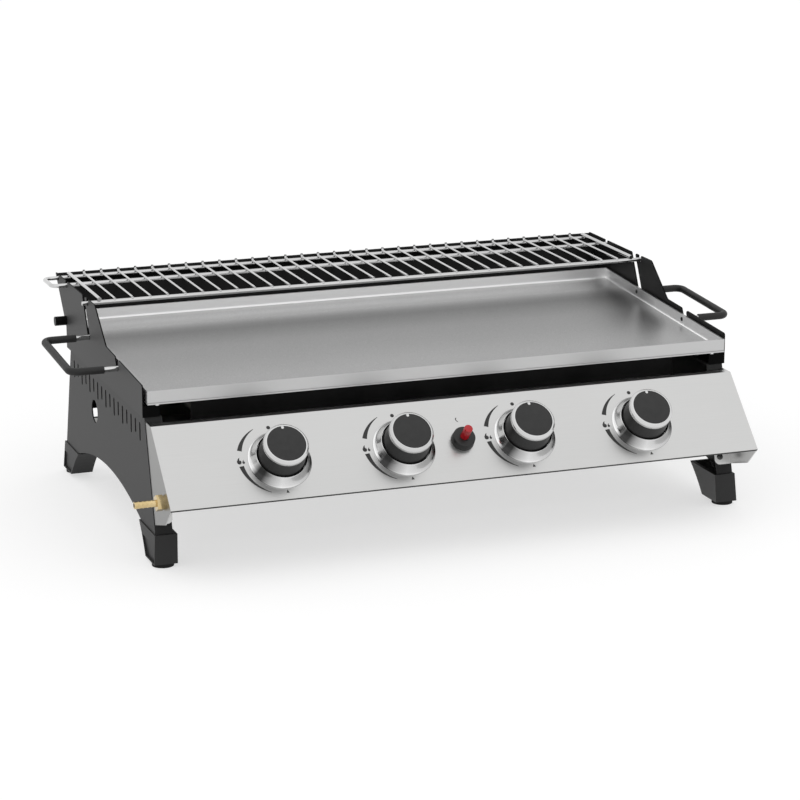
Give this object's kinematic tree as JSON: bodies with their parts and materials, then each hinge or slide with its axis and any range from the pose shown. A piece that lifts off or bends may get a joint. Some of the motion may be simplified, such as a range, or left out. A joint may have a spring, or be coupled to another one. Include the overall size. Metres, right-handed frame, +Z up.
{
  "type": "outdoor gas griddle station",
  "caption": "Tabletop gas griddle station: lift-off steel plate with side handles, wind shields, wire warming rack, push-and-turn knobs, push-button igniter and hose inlet.",
  "frame": {"origin": "centre of the footprint at ground level, under the rubber pads", "axes": "+X to the right along the control panel, +Y from the control panel to the rear, +Z up"},
  "size_m": [0.8254, 0.4979, 0.2472],
  "materials": {
    "plate_steel": "ground stainless sheet with a soft sheen",
    "panel_steel": "stainless sheet brushed along its width",
    "black_enamel": "glossy black enamel",
    "grey_paint": "satin dark grey paint",
    "chrome_parts": "bright chrome plating",
    "grip_sleeve": "dark grey heat-resistant sleeve",
    "knob_plastic": "dark plastic with a chrome-plated ring",
    "black_plastic": "black plastic",
    "red_plastic": "glossy red plastic",
    "zinc_parts": "dull zinc-plated metal",
    "valve_metal": "die-cast metal, as cast",
    "brass_parts": "machined brass",
    "tray_steel": "plain aluminised sheet",
    "burner_steel": "stainless tube",
    "white_ceramic": null,
    "lead_sleeve": "red silicone sleeve",
    "foot_plastic": "dark textured plastic",
    "pad_rubber": "black rubber",
    "dark_screws": "blackened steel"
  },
  "bodies": {
    "frame": {"left_shield": "black_enamel", "right_shield": "black_enamel", "rear_panel": "black_enamel", "side_pegs": "black_plastic", "left_side_panel": "grey_paint", "right_side_panel": "grey_paint", "control_panel": "panel_steel", "bezel_1": "chrome_parts", "bezel_2": "chrome_parts", "bezel_3": "chrome_parts", "bezel_4": "chrome_parts", "igniter_body": "black_plastic", "igniter_nut": "zinc_parts", "valve_body_1": "valve_metal", "valve_body_2": "valve_metal", "valve_body_3": "valve_metal", "valve_body_4": "valve_metal", "gas_manifold": "zinc_parts", "gas_inlet": "brass_parts", "inlet_nut": "brass_parts", "burner_1": "burner_steel", "burner_2": "burner_steel", "burner_3": "burner_steel", "burner_4": "burner_steel", "firebox_front": "black_enamel", "rear_wall": "black_enamel", "burner_support": "tray_steel", "floor_tray": "tray_steel", "rear_rail": "grey_paint", "electrodes": "white_ceramic", "ignition_leads": "lead_sleeve", "front_left_foot": "foot_plastic", "front_right_foot": "foot_plastic", "rear_left_foot": "foot_plastic", "rear_right_foot": "foot_plastic", "foot_pads": "pad_rubber", "frame_screws": "dark_screws"},
    "griddle": {"griddle_plate": "plate_steel", "plate_studs": "chrome_parts", "left_handle_rod": "chrome_parts", "right_handle_rod": "chrome_parts", "left_handle_grip": "grip_sleeve", "right_handle_grip": "grip_sleeve", "handle_screws": "chrome_parts"},
    "rack": {"warming_rack": "chrome_parts"},
    "button": {"igniter_button": "red_plastic"},
    "collar_1": {"push_collar_1": "zinc_parts"},
    "dial_1": {"valve_stem_1": "zinc_parts", "knob_1": "knob_plastic"},
    "collar_2": {"push_collar_2": "zinc_parts"},
    "dial_2": {"valve_stem_2": "zinc_parts", "knob_2": "knob_plastic"},
    "collar_3": {"push_collar_3": "zinc_parts"},
    "dial_3": {"valve_stem_3": "zinc_parts", "knob_3": "knob_plastic"},
    "collar_4": {"push_collar_4": "zinc_parts"},
    "dial_4": {"valve_stem_4": "zinc_parts", "knob_4": "knob_plastic"}
  },
  "joints": [
    {"name": "plate_lift", "type": "slide", "parent": "frame", "child": "griddle", "axis": [0, 0.4462, 0.8949], "range_m": [0, 0.025]},
    {"name": "rack_lift", "type": "slide", "parent": "frame", "child": "rack", "axis": [0, 0, 1], "range_m": [0, 0.06]},
    {"name": "igniter_press", "type": "slide", "parent": "frame", "child": "button", "axis": [0, -0.7028, 0.7114], "range_m": [-0.004, 0], "stiffness_N_per_m": 800, "springref_m": 0.001},
    {"name": "knob_push_1", "type": "slide", "parent": "frame", "child": "collar_1", "axis": [0, -0.7028, 0.7114], "range_m": [-0.003, 0], "stiffness_N_per_m": 1500, "springref_m": 0.001},
    {"name": "knob_turn_1", "type": "hinge", "parent": "collar_1", "child": "dial_1", "pos_m": [-0.21709, -0.20648, 0.11694], "axis": [0, -0.7028, 0.7114], "range_deg": [0, 180]},
    {"name": "knob_push_2", "type": "slide", "parent": "frame", "child": "collar_2", "axis": [0, -0.7028, 0.7114], "range_m": [-0.003, 0], "stiffness_N_per_m": 1500, "springref_m": 0.001},
    {"name": "knob_turn_2", "type": "hinge", "parent": "collar_2", "child": "dial_2", "pos_m": [-0.07169, -0.20648, 0.11694], "axis": [0, -0.7028, 0.7114], "range_deg": [0, 180]},
    {"name": "knob_push_3", "type": "slide", "parent": "frame", "child": "collar_3", "axis": [0, -0.7028, 0.7114], "range_m": [-0.003, 0], "stiffness_N_per_m": 1500, "springref_m": 0.001},
    {"name": "knob_turn_3", "type": "hinge", "parent": "collar_3", "child": "dial_3", "pos_m": [0.07369, -0.20648, 0.11694], "axis": [0, -0.7028, 0.7114], "range_deg": [0, 180]},
    {"name": "knob_push_4", "type": "slide", "parent": "frame", "child": "collar_4", "axis": [0, -0.7028, 0.7114], "range_m": [-0.003, 0], "stiffness_N_per_m": 1500, "springref_m": 0.001},
    {"name": "knob_turn_4", "type": "hinge", "parent": "collar_4", "child": "dial_4", "pos_m": [0.21909, -0.20648, 0.11694], "axis": [0, -0.7028, 0.7114], "range_deg": [0, 180]}
  ]
}
